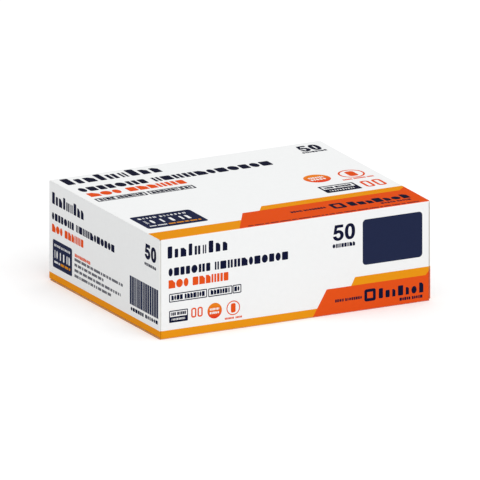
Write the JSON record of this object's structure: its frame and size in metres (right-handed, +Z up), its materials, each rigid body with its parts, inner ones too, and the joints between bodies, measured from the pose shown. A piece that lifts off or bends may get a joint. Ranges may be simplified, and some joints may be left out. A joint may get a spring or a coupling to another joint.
{
  "type": "folding carton of intravenous cannula packs",
  "caption": "Closed paperboard tuck-end carton, filled with sealed peel packs, with a hinged closure flap and tuck tongue at each end",
  "frame": {"origin": "on the floor under the middle of the closed carton", "axes": "+X along the length towards the right closure, +Y to the back panel, +Z up; the widest printed long side faces -Y"},
  "size_m": [0.24, 0.19, 0.082],
  "materials": {
    "printed_board": "satin",
    "peel_pack": "satin"
  },
  "bodies": {
    "filled_carton": {"carton": "printed_board", "unit_packs": "peel_pack"},
    "left_closure": {"left_closure_flap": "printed_board"},
    "right_closure": {"right_closure_flap": "printed_board"}
  },
  "joints": [
    {"name": "left_closure_crease", "type": "hinge", "parent": "filled_carton", "child": "left_closure", "pos_m": [-0.12, 0, 0.082], "axis": [0, 1, 0], "range_deg": [0, 180]},
    {"name": "right_closure_crease", "type": "hinge", "parent": "filled_carton", "child": "right_closure", "pos_m": [0.12, 0, 0.082], "axis": [0, -1, 0], "range_deg": [0, 180]}
  ]
}
